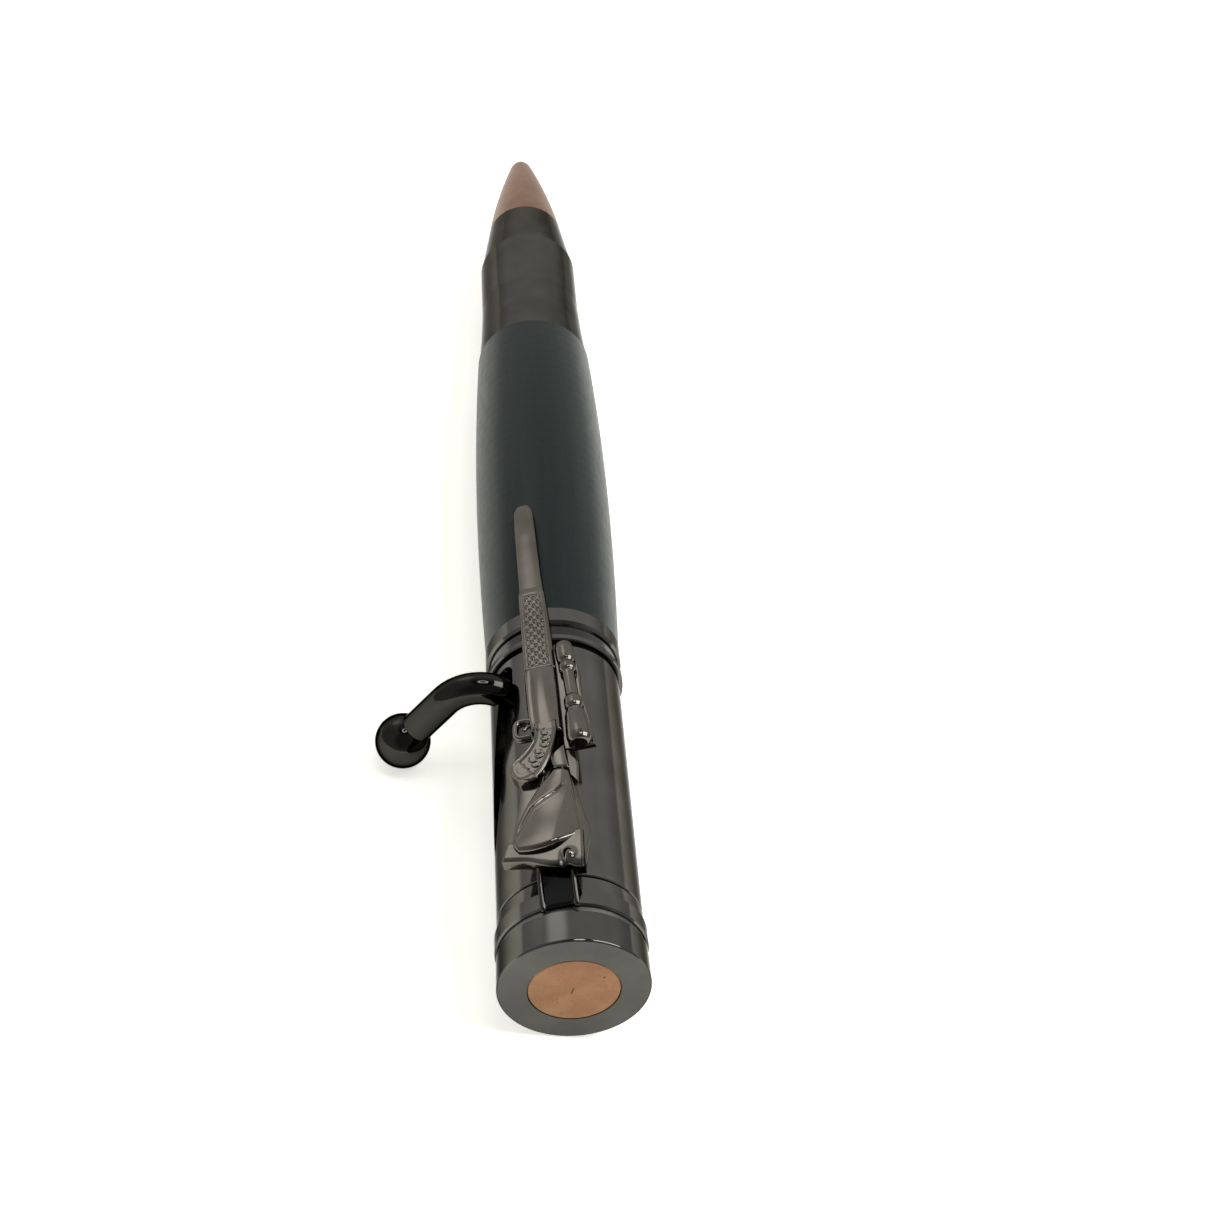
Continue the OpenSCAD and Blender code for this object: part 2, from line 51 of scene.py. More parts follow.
def cad_vector(v):
    """A vector measured round the pen from the camera's side, turned into the CAD frame."""
    c, s = math.cos(CAMERA_TURN), math.sin(CAMERA_TURN)
    return Vector((v[0], v[1] * c + v[2] * s, -v[1] * s + v[2] * c))


def place_camera():
    """A camera above and behind the cap, looking down along the pen towards its tip."""
    flat, fall = math.cos(CAMERA_PITCH), math.sin(CAMERA_PITCH)
    ahead = Vector((flat * math.cos(CAMERA_YAW), flat * math.sin(CAMERA_YAW), -fall))
    level = Vector((math.sin(CAMERA_YAW), -math.cos(CAMERA_YAW), 0.0))
    upright = level.cross(ahead)
    c, s = math.cos(CAMERA_ROLL), math.sin(CAMERA_ROLL)
    right, up = level * c + upright * s, upright * c - level * s
    rows = (cad_vector(right), cad_vector(up), -cad_vector(ahead))
    data = bpy.data.cameras.new("camera")
    data.sensor_width = SENSOR_WIDTH
    data.lens = LENS
    data.clip_start = NEAREST
    data.clip_end = FARTHEST
    cam = bpy.data.objects.new("camera", data)
    spot = cad_vector(CAMERA_SPOT) * MM
    cam.matrix_world = Matrix.Translation(spot) @ Matrix(rows).transposed().to_4x4()
    bpy.context.collection.objects.link(cam)
    bpy.context.scene.camera = cam


place_camera()
scene = bpy.context.scene
scene.view_settings.view_transform = "Standard"


# ---------------------------------------------------------------- shader nodes
def new_material(name):
    """A material with its node tree and its main shader."""
    mat = bpy.data.materials.new(name)
    mat.use_nodes = True
    tree = mat.node_tree
    return mat, tree, tree.nodes["Principled BSDF"]


def add(tree, kind, **values):
    """A shader node with some of its inputs or settings filled in."""
    node = tree.nodes.new(kind)
    for key, value in values.items():
        if key in node.inputs:
            node.inputs[key].default_value = value
        else:
            setattr(node, key, value)
    return node


def maths(tree, operation, *values):
    """A Math node. Each value is a socket or a plain number."""
    node = add(tree, "ShaderNodeMath", operation=operation)
    for value, socket in zip(values, node.inputs):
        if isinstance(value, float):
            socket.default_value = value
        else:
            tree.links.new(value, socket)
    return node.outputs[0]


def share_along(tree, vector, direction):
    """How far a vector goes in a direction."""
    node = add(tree, "ShaderNodeVectorMath", operation="DOT_PRODUCT")
    tree.links.new(vector, node.inputs[0])
    node.inputs[1].default_value = direction
    return node.outputs["Value"]


def place_on_object(tree):
    return add(tree, "ShaderNodeTexCoord").outputs["Object"]


def axes_of(tree, vector):
    """The X, Y and Z sockets of a vector."""
    node = add(tree, "ShaderNodeSeparateXYZ")
    tree.links.new(vector, node.inputs[0])
    return node.outputs


def noise(tree, vector, scale=1.0, detail=3.0, rough=0.5):
    node = add(tree, "ShaderNodeTexNoise", Scale=scale, Detail=detail, Roughness=rough)
    tree.links.new(vector, node.inputs["Vector"])
    return node.outputs["Fac"]


def stretched(tree, along=1.0, across=1.0):
    """Places on the object, scaled differently along the pen and across it."""
    node = add(tree, "ShaderNodeMapping", Scale=(along, across, across))
    tree.links.new(place_on_object(tree), node.inputs["Vector"])
    return node.outputs["Vector"]


def mapped(tree, value, low, high, out_low, out_high):
    node = add(tree, "ShaderNodeMapRange", **{"From Min": low, "From Max": high, "To Min": out_low,
                                              "To Max": out_high})
    tree.links.new(value, node.inputs["Value"])
    return node.outputs["Result"]


def blend_colour(tree, factor, first, second):
    node = add(tree, "ShaderNodeMix", data_type="RGBA")
    node.inputs["A"].default_value = (*first, 1)
    node.inputs["B"].default_value = (*second, 1)
    tree.links.new(factor, node.inputs["Factor"])
    return node.outputs["Result"]


def stained(tree, tone, amount, colour):
    """A colour socket with a plain colour laid over it by an amount."""
    node = add(tree, "ShaderNodeMix", data_type="RGBA")
    node.inputs["B"].default_value = (*colour, 1)
    tree.links.new(amount, node.inputs["Factor"])
    tree.links.new(tone, node.inputs["A"])
    return node.outputs["Result"]


def emboss(tree, bsdf, height, strength):
    """Fine relief, 0.05 mm deep at full strength."""
    node = add(tree, "ShaderNodeBump", Strength=strength, Distance=0.05 * MM)
    tree.links.new(height, node.inputs["Height"])
    tree.links.new(node.outputs["Normal"], bsdf.inputs["Normal"])


def scaled(colour, shares):
    return tuple(min(1.0, c * k) for c, k in zip(colour, shares))


# ---------------------------------------------------------------- materials
POST_SHADE_BLACK = (0.018, 0.019, 0.019)      # painted shade on the clip's post, darkest in its hollow
DARK_BROWN = (0.05, 0.03, 0.02)         # the marks on the copper disc


def metal(name, colour, rough, turned=0.0, mottle=0.1, bump=0.01, grain=2500.0, edge_tint=0.3, face=None,
          hollow=False):
    """Plated metal: fine mottling, a little variation in gloss, and turning marks round the pen's axis."""
    mat, tree, bsdf = new_material(name)
    bsdf.inputs["Metallic"].default_value = 1.0
    bsdf.inputs["Specular Tint"].default_value = (edge_tint, edge_tint, edge_tint, 1)
    even = stretched(tree)
    broad = noise(tree, even, scale=260.0)
    fine = noise(tree, even, scale=grain, detail=4.0, rough=0.6)
    rings = noise(tree, stretched(tree, along=9000.0, across=14.0), rough=0.65)
    dark, light = scaled(colour, (1 - mottle,) * 3), scaled(colour, (1 + mottle,) * 3)
    tone = blend_colour(tree, mapped(tree, broad, 0.3, 0.7, 0, 1), dark, light)
    # painted shade on the clip's post
    if hollow:
        tone = paint_post_shade(tree, tone)
    tree.links.new(tone, bsdf.inputs["Base Color"])
    marks = maths(tree, "MULTIPLY_ADD", rings, turned, fine)
    gloss = mapped(tree, marks, 0.3, 0.8 + turned, rough * 0.75, rough * 1.3)
    if face is not None:
        gloss = face_gloss(tree, gloss, face)
    tree.links.new(gloss, bsdf.inputs["Roughness"])
    emboss(tree, bsdf, marks, bump)
    return mat


def paint_post_shade(tree, tone):
    """Paints shade on the clip's post, darkest between its two ribs."""
    place = place_on_object(tree)
    to_handle_side = (0, math.cos(CLIP_TURN), -math.sin(CLIP_TURN))
    centred = maths(tree, "ADD", share_along(tree, place, to_handle_side), 0.42 * MM)
    # painted shade: full between the ribs, about two thirds on them
    shade_depth = mapped(tree, maths(tree, "ABSOLUTE", centred), 1.16 * MM, 1.28 * MM, 1, 0.65)
    on_post = mapped(tree, axes_of(tree, place)["X"], 6.6 * MM, 7.2 * MM, 1, 0)
    return stained(tree, tone, maths(tree, "MULTIPLY", shade_depth, on_post), POST_SHADE_BLACK)


def face_gloss(tree, gloss, face):
    """Makes the pen's flat rear end satin and leaves the turned sides polished."""
    node = add(tree, "ShaderNodeMix", data_type="FLOAT")
    node.inputs["B"].default_value = face
    at_rear = mapped(tree, axes_of(tree, place_on_object(tree))["X"], 0.02 * MM, 0.12 * MM, 1, 0)
    tree.links.new(at_rear, node.inputs["Factor"])
    tree.links.new(gloss, node.inputs["A"])
    return node.outputs["Result"]


def disc_marks(tree, even):
    """Where the copper disc is marked: pin specks in a few patches, and a short scratch near its middle."""
    dots = add(tree, "ShaderNodeTexVoronoi", Scale=1150.0)
    tree.links.new(even, dots.inputs["Vector"])
    dot = mapped(tree, dots.outputs["Distance"], 0.09, 0.17, 1, 0)
    patches = mapped(tree, noise(tree, even, scale=700.0, detail=2.0), 0.47, 0.56, 0, 0.9)
    turn = add(tree, "ShaderNodeMapping", vector_type="POINT", Location=(0, -0.12 * MM, 0.1 * MM),
               Rotation=(math.radians(-6), 0, 0))
    tree.links.new(place_on_object(tree), turn.inputs["Vector"])
    axes = axes_of(tree, turn.outputs["Vector"])
    across = mapped(tree, maths(tree, "ABSOLUTE", axes["Y"]), 0.03 * MM, 0.09 * MM, 1, 0)
    along = mapped(tree, maths(tree, "ABSOLUTE", axes["Z"]), 0.25 * MM, 0.55 * MM, 1, 0)
    specks = maths(tree, "MULTIPLY", dot, patches)
    scratch = maths(tree, "MULTIPLY", across, along)
    return maths(tree, "MAXIMUM", specks, scratch)


def copper_metal(name, colour, rough, marked=False):
    """Satin copper with broad tarnish."""
    mat, tree, bsdf = new_material(name)
    bsdf.inputs["Metallic"].default_value = 1.0
    even = stretched(tree)
    broad = noise(tree, even, scale=420.0, detail=4.0, rough=0.6)
    fine = noise(tree, even, scale=5200.0, detail=4.0, rough=0.6)
    deep, pale = scaled(colour, (0.86, 0.8, 0.76)), scaled(colour, (1.06, 1.08, 1.1))
    tone = blend_colour(tree, mapped(tree, broad, 0.32, 0.68, 0, 1), deep, pale)
    if marked:
        tone = stained(tree, tone, disc_marks(tree, even), DARK_BROWN)
    tree.links.new(tone, bsdf.inputs["Base Color"])
    tree.links.new(mapped(tree, fine, 0.3, 0.7, rough * 0.85, rough * 1.2), bsdf.inputs["Roughness"])
    emboss(tree, bsdf, fine, 0.03)
    return mat


def resin(name, deep, pale, rough, ior=1.5):
    """Satin finish of the barrel and the plastics: a faint lengthwise figure and hairline rubbing marks."""
    mat, tree, bsdf = new_material(name)
    bsdf.inputs["IOR"].default_value = ior
    figure = noise(tree, stretched(tree, along=60.0, across=900.0), detail=4.0, rough=0.55)
    hair = noise(tree, stretched(tree, along=500.0, across=1500.0), detail=4.0, rough=0.6)
    tone = blend_colour(tree, mapped(tree, figure, 0.35, 0.65, 0, 1), deep, pale)
    tree.links.new(tone, bsdf.inputs["Base Color"])
    tree.links.new(mapped(tree, hair, 0.3, 0.7, rough * 0.85, rough * 1.15), bsdf.inputs["Roughness"])
    emboss(tree, bsdf, hair, 0.015)
    return mat


gun_satin = metal("gunmetal_satin", (0.117, 0.113, 0.105), 0.12, turned=0.8, bump=0.012)
gun_cap = metal("gunmetal_cap", (0.096, 0.095, 0.088), 0.1, turned=0.6, bump=0.012, face=0.38)
# polished gunmetal for the bolt's handle and knob, its colour darkened far below the housing's as painted
# shade
gun_polished_shaded = metal("gunmetal_bright", (0.036, 0.035, 0.031), 0.06, bump=0.004)
# the clip casting carries painted shade on its post
clip_mat = metal("clip_casting", (0.142, 0.131, 0.116), 0.115, mottle=0.14, bump=0.02, grain=1500.0,
                 hollow=True)
copper = copper_metal("copper", (0.205, 0.102, 0.053), 0.42)
copper_disc = copper_metal("copper_disc", (0.275, 0.147, 0.08), 0.48, marked=True)
brass = metal("brass", (0.76, 0.6, 0.3), 0.3, turned=0.6, edge_tint=0.9)
steel = metal("steel", (0.6, 0.6, 0.6), 0.22, turned=0.6, edge_tint=0.9)
dark_steel = metal("dark_steel", (0.16, 0.16, 0.15), 0.4, turned=0.6)
barrel_black = resin("barrel_black", (0.0105, 0.0165, 0.016), (0.0135, 0.02, 0.019), 0.32, ior=1.2)
black_ring = resin("black_ring", (0.002, 0.002, 0.002), (0.005, 0.005, 0.005), 0.2)
plastic = resin("refill_plastic", (0.78, 0.78, 0.74), (0.85, 0.85, 0.82), 0.45)

LOOKS = {"end_cap": gun_cap, "primer_disc": copper_disc, "cap_screw": steel, "clip_washer": dark_steel,
         "retaining_ring": gun_satin, "rear_plug": brass, "bolt_housing": gun_satin,
         "bolt_carriage": dark_steel, "pusher_rod": steel, "bolt_handle": gun_polished_shaded,
         "bolt_knob": gun_polished_shaded, "spacer_ring": black_ring, "trim_ring": gun_satin,
         "centre_coupler": gun_satin, "barrel_tube": brass, "barrel_sleeve": barrel_black,
         "nib_coupler": gun_satin, "bullet_tip": copper, "refill_plug": plastic,
         "refill_tube": steel, "refill_tip": steel, "refill_ball": steel,
         "return_spring": steel, "clip": clip_mat}
for node, look in LOOKS.items():
    for slot in NODES[node].material_slots:
        slot.material = look


# ---------------------------------------------------------------- the clip, cast in the shape of a rifle
# Places on the clip are in mm: x along the pen from its rear end, side towards the bolt's handle, and
# height away from the pen's axis.


def clip_point(x, side, height):
    """A place on the clip in the CAD frame, in metres."""
    c, s = math.cos(CLIP_TURN), math.sin(CLIP_TURN)
    return (x * MM, (side * c + height * s) * MM, (height * c - side * s) * MM)


def smooth_line(points, count):
    """Evenly spaced points on a Catmull-Rom curve through the given points."""
    fine, per_span = [], 16
    last = len(points) - 1
    for i in range(last):
        p0, p1 = points[max(i - 1, 0)], points[i]
        p2, p3 = points[i + 1], points[min(i + 2, last)]
        for k in range(per_span):
            t = k / per_span
            fine.append(tuple(0.5 * (2 * b + (c - a) * t + (2 * a - 5 * b + 4 * c - d) * t * t
                                     + (3 * b - a - 3 * c + d) * t ** 3)
                              for a, b, c, d in zip(p0, p1, p2, p3)))
    fine.append(tuple(points[-1]))
    run = [0.0]
    for a, b in zip(fine, fine[1:]):
        run.append(run[-1] + math.dist(a, b))
    out, j = [], 0
    for i in range(count):
        want = run[-1] * i / (count - 1)
        while j < len(run) - 2 and run[j + 1] < want:
            j += 1
        span = run[j + 1] - run[j] or 1.0
        t = min(1.0, max(0.0, (want - run[j]) / span))
        out.append(tuple(a + (b - a) * t for a, b in zip(fine[j], fine[j + 1])))
    return out


def steps_across(width, edge, inner):
    """Shares of a width: close together near both edges, for a smooth round, and inner steps between."""
    near = [0.0, 0.06, 0.16, 0.32, 0.55, 0.8, 1.0]
    edge = min(edge, width * 0.45)
    low = [edge * k / width for k in near]
    middle = [low[-1] + (1 - 2 * low[-1]) * i / inner for i in range(1, inner)]
    return low + middle + [1 - k for k in reversed(low)]


def round_drop(inset, edge):
    """How far a rounded edge has fallen at a distance in from the side."""
    if inset >= edge:
        return 0.0
    return edge - math.sqrt(max(0.0, edge * edge - (edge - inset) ** 2))


def smooth_step(v):
    v = min(1.0, max(0.0, v))
    return v * v * (3 - 2 * v)


def pad_surface(left, right, top, edge, along, across, bow):
    """Rows of (x, side, height) over a pad between two side lines, with a rounded edge all round."""
    length = math.dist(left[0], left[-1])
    spans = 400
    left_side, right_side = smooth_line(left, spans + 1), smooth_line(right, spans + 1)
    rows = []
    for u in steps_across(length, edge, along):
        k = min(spans - 1, int(u * spans))
        f = u * spans - k
        a = [p + (q - p) * f for p, q in zip(left_side[k], left_side[k + 1])]
        b = [p + (q - p) * f for p, q in zip(right_side[k], right_side[k + 1])]
        width = math.dist(a, b)
        row = []
        for w in steps_across(width, edge, across):
            x = a[0] + (b[0] - a[0]) * w - bow * 4 * w * (1 - w) * max(0.0, u * 2 - 1) ** 2
            side = a[1] + (b[1] - a[1]) * w
            inset = min(w * width, (1 - w) * width, u * length, (1 - u) * length)
            row.append((x, side, top(u, w, x, side) - round_drop(inset, edge)))
        rows.append(row)
    return rows


def cast_pad(geo, left, right, foot, top, edge, along=60, across=14, bow=0.0):
    """A raised pad between two side lines, from a flat foot up to a shaped top.

    top(u, w, x, side) is the height at the shares u along and w across, edge is the radius of its rounded
    edge, along and across are numbers of steps, and bow is how far the end at u = 1 bulges to the rear.
    """
    verts, faces = geo
    rows = pad_surface(left, right, top, edge, along, across, bow)
    first = len(verts)
    nu, nw = len(rows), len(rows[0])
    for row in rows:
        verts.extend(clip_point(*place) for place in row)
    for i in range(nu - 1):
        for j in range(nw - 1):
            q = first + i * nw + j
            faces.append((q, q + 1, q + nw + 1, q + nw))
    rim = ([(0, j) for j in range(nw)] + [(i, nw - 1) for i in range(1, nu)]
           + [(nu - 1, j) for j in range(nw - 2, -1, -1)] + [(i, 0) for i in range(nu - 2, 0, -1)])
    below = len(verts)
    for i, j in rim:
        x, side = rows[i][j][:2]
        verts.append(clip_point(x, side, foot))
    m = len(rim)
    above = [first + i * nw + j for i, j in rim]
    for k in range(m):
        after = (k + 1) % m
        faces.append((above[after], above[k], below + k, below + after))
    faces.append(tuple(below + k for k in range(m - 1, -1, -1)))


def close_tube(geo, base, rings, sides):
    """Joins rings of points, which begin at the vertex base, into a closed tube."""
    faces = geo[1]
    for i in range(rings - 1):
        for k in range(sides):
            a, b = base + i * sides + k, base + i * sides + (k + 1) % sides
            faces.append((a, b, b + sides, a + sides))
    faces.append(tuple(base + k for k in range(sides - 1, -1, -1)))
    faces.append(tuple(base + (rings - 1) * sides + k for k in range(sides)))


def cast_bead(geo, line, radius, height, count, sides=8, taper=0.35):
    """A raised bead along a line on the clip, such as a border or a scroll, with its ends drawn in."""
    verts = geo[0]
    pts = smooth_line(line, count)
    base = len(verts)
    for i, (x, side) in enumerate(pts):
        p, q = pts[max(i - 1, 0)], pts[min(i + 1, count - 1)]
        dx, ds = q[0] - p[0], q[1] - p[1]
        run = math.hypot(dx, ds) or 1.0
        nx, ns = -ds / run, dx / run
        end = min(i, count - 1 - i) / (count * 0.12)
        size = radius * (taper + (1 - taper) * smooth_step(end))
        for k in range(sides):
            a = 2 * math.pi * k / sides
            out = math.cos(a) * size
            verts.append(clip_point(x + nx * out, side + ns * out, height + math.sin(a) * size))
    close_tube(geo, base, count, sides)


def cast_turned(geo, start, end, height, profile, sides, flat):
    """A turned piece along a line on the clip, a little flattened. profile is [(share, radius)]."""
    verts = geo[0]
    base = len(verts)
    (x0, side0), (x1, side1) = start, end
    dx, ds = x1 - x0, side1 - side0
    run = math.hypot(dx, ds)
    for share, radius in profile:
        cx, cs = x0 + dx * share, side0 + ds * share
        for k in range(sides):
            a = 2 * math.pi * k / sides
            out = math.cos(a) * radius
            verts.append(clip_point(cx - ds / run * out, cs + dx / run * out,
                                    height + math.sin(a) * radius * flat))
    close_tube(geo, base, len(profile), sides)


def rounded_profile(stations, edge, steps=4):
    """Rounds the corners of a [(x, radius)] outline."""
    out = [stations[0]]
    for a, b, c in zip(stations, stations[1:], stations[2:]):
        la, lc = math.dist(a, b), math.dist(b, c)
        e = min(edge, la * 0.45, lc * 0.45)
        p = [b[i] + (a[i] - b[i]) * e / la for i in (0, 1)]
        q = [b[i] + (c[i] - b[i]) * e / lc for i in (0, 1)]
        for k in range(steps + 1):
            t = k / steps
            out.append(tuple((1 - t) ** 2 * p[i] + 2 * t * (1 - t) * b[i] + t * t * q[i]
                             for i in (0, 1)))
    out.append(stations[-1])
    return out


def line_side(x, side, line):
    """Signed distance from a line of points: positive to the left of its direction."""
    best, sign = 1e9, 1.0
    for a, b in zip(line, line[1:]):
        dx, ds = b[0] - a[0], b[1] - a[1]
        t = max(0.0, min(1.0, ((x - a[0]) * dx + (side - a[1]) * ds) / (dx * dx + ds * ds)))
        px, ps = a[0] + dx * t, a[1] + ds * t
        d = math.hypot(x - px, side - ps)
        if d < best:
            best = d
            sign = 1.0 if dx * (side - a[1]) - ds * (x - a[0]) > 0 else -1.0
    return best * sign


def cast_barrel(geo):
    """Barrel and forend, with checkering cut into the forend."""
    check_rear, check_front = 30.7, 40.9
    check_long, check_wide = 0.56, 0.37

    def barrel_top(u, w, x, side):
        muzzle = 0.22 * smooth_step((x - 50) / 6)
        forend = 0.16 * smooth_step((42.0 - x) / 0.8)
        ridge = 0.1 * (1 - (2 * w - 1) ** 2)
        h = 8.42 - muzzle + forend + ridge
        if check_rear < x < check_front:
            inside = (min((x - check_rear) / 0.12, (check_front - x) / 0.12, 1.0)
                      * min(max((w - 0.14) / 0.05, 0.0), max((0.86 - w) / 0.05, 0.0), 1.0))
            stud = math.cos(math.pi * x / check_long) * math.cos(math.pi * side / check_wide)
            h += inside * (0.13 * max(0.0, stud) ** 0.8 - 0.07)
        return h

    left = [(55.5, 1.25), (54.9, 1.55), (53.9, 1.68), (49, 1.6), (44.7, 1.5), (42.4, 1.47), (41.6, 1.52),
            (38.4, 1.48), (34.5, 1.4), (30.3, 1.33)]
    right = [(55.5, 0.1), (54.9, -0.2), (53.9, -0.36), (49, -0.58), (44.7, -0.76), (42.4, -0.9),
             (41.6, -1.0), (38.4, -1.24), (34.5, -1.46), (30.3, -1.68)]
    cast_pad(geo, left, right, foot=7.42, top=barrel_top, edge=0.3, along=440, across=48)


def cast_receiver(geo):
    """A smooth crowned block with a hollow along its left side."""
    def receiver_top(u, w, x, side):
        crown = 0.34 * math.sin(math.pi * min(1.0, w * 1.04)) ** 0.8
        hollow = 0.13 * math.exp(-((w - 0.2) / 0.09) ** 2) * math.sin(math.pi * min(1, u * 1.02)) ** 0.6
        return 8.5 + crown * (0.55 + 0.45 * math.sin(math.pi * u)) - hollow

    left = [(30.75, 1.3), (28.8, 1.3), (26.5, 1.25), (24.4, 1.15), (22.6, 0.95)]
    right = [(30.75, -1.66), (28.8, -1.74), (26.5, -1.8), (24.4, -1.86), (22.2, -1.9)]
    cast_pad(geo, left, right, foot=7.4, top=receiver_top, edge=0.32, across=30)


def cast_grip(geo):
    """A curved tongue and its heel, with a raised border and scrolls."""
    grip_left = [(23.4, 0.6), (22.3, 0.62), (21.2, 0.8), (20.2, 1.35), (19.3, 2.2), (18.75, 2.86)]
    grip_right = [(23.4, -1.5), (22.0, -1.45), (20.6, -1.2), (19.0, -0.72), (17.6, -0.1), (16.55, 0.75)]

    def grip_top(u, w, x, side):
        rim = 0.07 * (math.exp(-((w - 0.1) / 0.07) ** 2) + math.exp(-((w - 0.9) / 0.07) ** 2))
        field = 0.07 * smooth_step((u - 0.12) / 0.1) * smooth_step((0.5 - abs(w - 0.5)) / 0.12)
        return 8.72 + rim - field

    cast_pad(geo, grip_left, grip_right, foot=7.45, top=grip_top, edge=0.22, along=70, across=30)

    def heel_top(u, w, x, side):
        return 8.74 + 0.05 * math.exp(-((w - 0.88) / 0.1) ** 2)

    cast_pad(geo, [(19.3, 2.15), (18.4, 2.86), (17.4, 2.82)], [(16.7, 0.45), (16.42, 1.3), (16.75, 2.3)],
             foot=7.45, top=heel_top, edge=0.24, along=26, across=20)
    scrolls = [
        [(22.5, -0.55), (22.3, -0.1), (21.8, -0.1), (21.7, -0.5), (22.0, -0.62)],
        [(21.6, -0.85), (21.2, -0.7), (21.0, -0.25), (21.4, 0.0), (21.5, -0.3)],
        [(20.9, -0.6), (20.5, -0.65), (20.2, -0.3), (20.5, 0.1), (20.85, -0.05), (20.7, -0.3)],
        [(20.1, 0.5), (19.8, 0.65), (19.5, 0.35), (19.75, 0.0), (20.05, 0.15)],
        [(19.6, -0.2), (19.2, -0.1), (19.0, 0.3), (19.3, 0.6), (19.45, 0.35)],
        [(19.3, 1.1), (18.9, 1.2), (18.6, 0.9), (18.7, 0.5), (19.0, 0.6)],
        [(18.5, 0.2), (18.1, 0.35), (18.0, 0.75), (18.35, 1.0)],
        [(18.6, 1.6), (18.2, 1.75), (17.9, 1.45), (18.05, 1.1)],
        [(17.6, 0.7), (17.3, 1.0), (17.5, 1.4), (17.8, 1.3)],
        [(18.3, 2.2), (17.8, 2.3), (17.4, 2.0), (17.3, 1.6)],
    ]
    for line in scrolls:
        cast_bead(geo, line, radius=0.085, height=8.67, count=26)
    border = [(22.9, 0.5), (22.2, 0.5), (21.2, 0.66), (20.2, 1.22), (19.3, 2.0), (18.6, 2.66), (17.8, 2.68),
              (17.0, 2.2), (16.65, 1.3), (16.75, 0.7), (17.7, 0.05), (19.0, -0.56), (20.6, -1.03),
              (22.0, -1.27), (22.9, -1.33)]
    cast_bead(geo, border, radius=0.1, height=8.7, count=110)


def cast_trigger(geo):
    """The trigger and its guard, a band made of two round rods, one above the other."""
    guard = [(24.2, 1.0), (24.28, 1.5), (24.22, 2.05), (23.9, 2.34), (23.2, 2.42), (22.6, 2.36),
             (22.26, 2.1), (22.2, 1.6), (22.24, 1.0)]
    for radius, height in ((0.27, 8.2), (0.25, 7.85)):
        cast_bead(geo, guard, radius, height, count=60, sides=12, taper=1.0)
    trigger = [(23.55, 0.9), (23.4, 1.35), (23.05, 1.7)]
    cast_bead(geo, trigger, radius=0.17, height=8.2, count=14, sides=10, taper=0.8)


def cast_stock(geo):
    """A swelling body with an S-shaped cheek line."""
    cheek = [(17.6, -2.1), (16.1, -2.0), (15.2, -1.85), (14.4, -1.05), (13.8, 0.05), (13.0, 1.15),
             (11.4, 1.95), (9.5, 2.9)]

    def stock_top(u, w, x, side):
        d = line_side(x, side, cheek)
        body = 0.32 * math.sin(math.pi * (0.1 + 0.8 * w)) ** 1.1 * (0.4 + 0.6 * smooth_step(u * 1.7))
        step = 0.1 * smooth_step(d / 0.9 + 0.5) + 0.07 * math.exp(-(d / 0.14) ** 2)
        roll = 0.4 * smooth_step((w + 0.45 * u - 1.0) / 0.45)
        return 8.68 + body + 0.26 * smooth_step((u - 0.5) / 0.5) - step - roll

    left = [(17.45, -0.9), (16.6, -0.3), (15.7, 0.45), (14.5, 1.15), (13.2, 1.85), (11.6, 2.45),
            (10.2, 2.82), (9.2, 2.9), (8.5, 2.5)]
    right = [(17.2, -2.2), (16.6, -2.3), (15.8, -2.4), (14.6, -2.52), (13.2, -2.64), (12.0, -2.74),
             (11.0, -2.8), (10.2, -2.8), (9.5, -2.6)]
    cast_pad(geo, left, right, foot=7.4, top=stock_top, edge=0.42, along=170, across=110, bow=0.6)


def cast_plates(geo):
    """The flange down the stock's right side, the thin plate at its left and the wrist in front of it."""
    def flange_top(u, w, x, side):
        return 8.45 - 0.75 * w + 0.06 * math.sin(u * 7)

    def plate_top(u, w, x, side):
        return 7.95 + 0.08 * math.sin(math.pi * w)

    def wrist_top(u, w, x, side):
        return 8.3 + 0.1 * math.sin(math.pi * w)

    cast_pad(geo, [(18.3, -1.5), (16, -1.9), (13, -2.3), (10.5, -2.5), (8, -2.2), (6.6, -2.0)],
             [(18.4, -2.15), (16, -2.6), (13.1, -3.1), (10.6, -3.6), (8.4, -3.35), (6.5, -3.0)],
             foot=7.38, top=flange_top, edge=0.22, across=12)
    cast_pad(geo, [(17.5, 2.05), (16.4, 2.2), (14.5, 2.42), (12.2, 2.85), (10, 3.2), (9.2, 3.3)],
             [(17.5, 0.0), (16, 0.2), (14, 0.6), (12, 1.0), (10, 1.4), (9.2, 1.5)],
             foot=7.38, top=plate_top, edge=0.16, along=50, across=10)
    cast_pad(geo, [(19.4, -0.6), (18.6, -0.7), (17.9, -0.85)], [(20.6, -2.0), (19.2, -2.15), (17.6, -2.25)],
             foot=7.4, top=wrist_top, edge=0.2, along=24, across=12)


def cast_rear_pad(geo):
    """The pad behind the stock, with a wavy rear edge that rolls over, and a small boss."""
    def rear_top(u, w, x, side):
        fall = 0.1 * smooth_step((w - 0.8) / 0.2)
        boss = 0.36 * math.exp(-((x - 7.5) ** 2 + (side + 1.8) ** 2) / 0.2)
        nick = 0.2 * math.exp(-((side + 1.25) / 0.25) ** 2) * smooth_step((w - 0.4) / 0.4)
        return 8.55 - fall + boss - nick

    cast_pad(geo, [(9.9, 3.45), (9.7, 1.6), (9.7, 0.2), (9.8, -1.2), (10.1, -2.5), (10.1, -3.1)],
             [(8.0, 4.0), (7.6, 2.0), (7.1, 0.9), (6.45, -0.7), (6.55, -1.6), (6.2, -2.2), (6.0, -3.0)],
             foot=7.36, top=rear_top, edge=0.22, along=150, across=70)


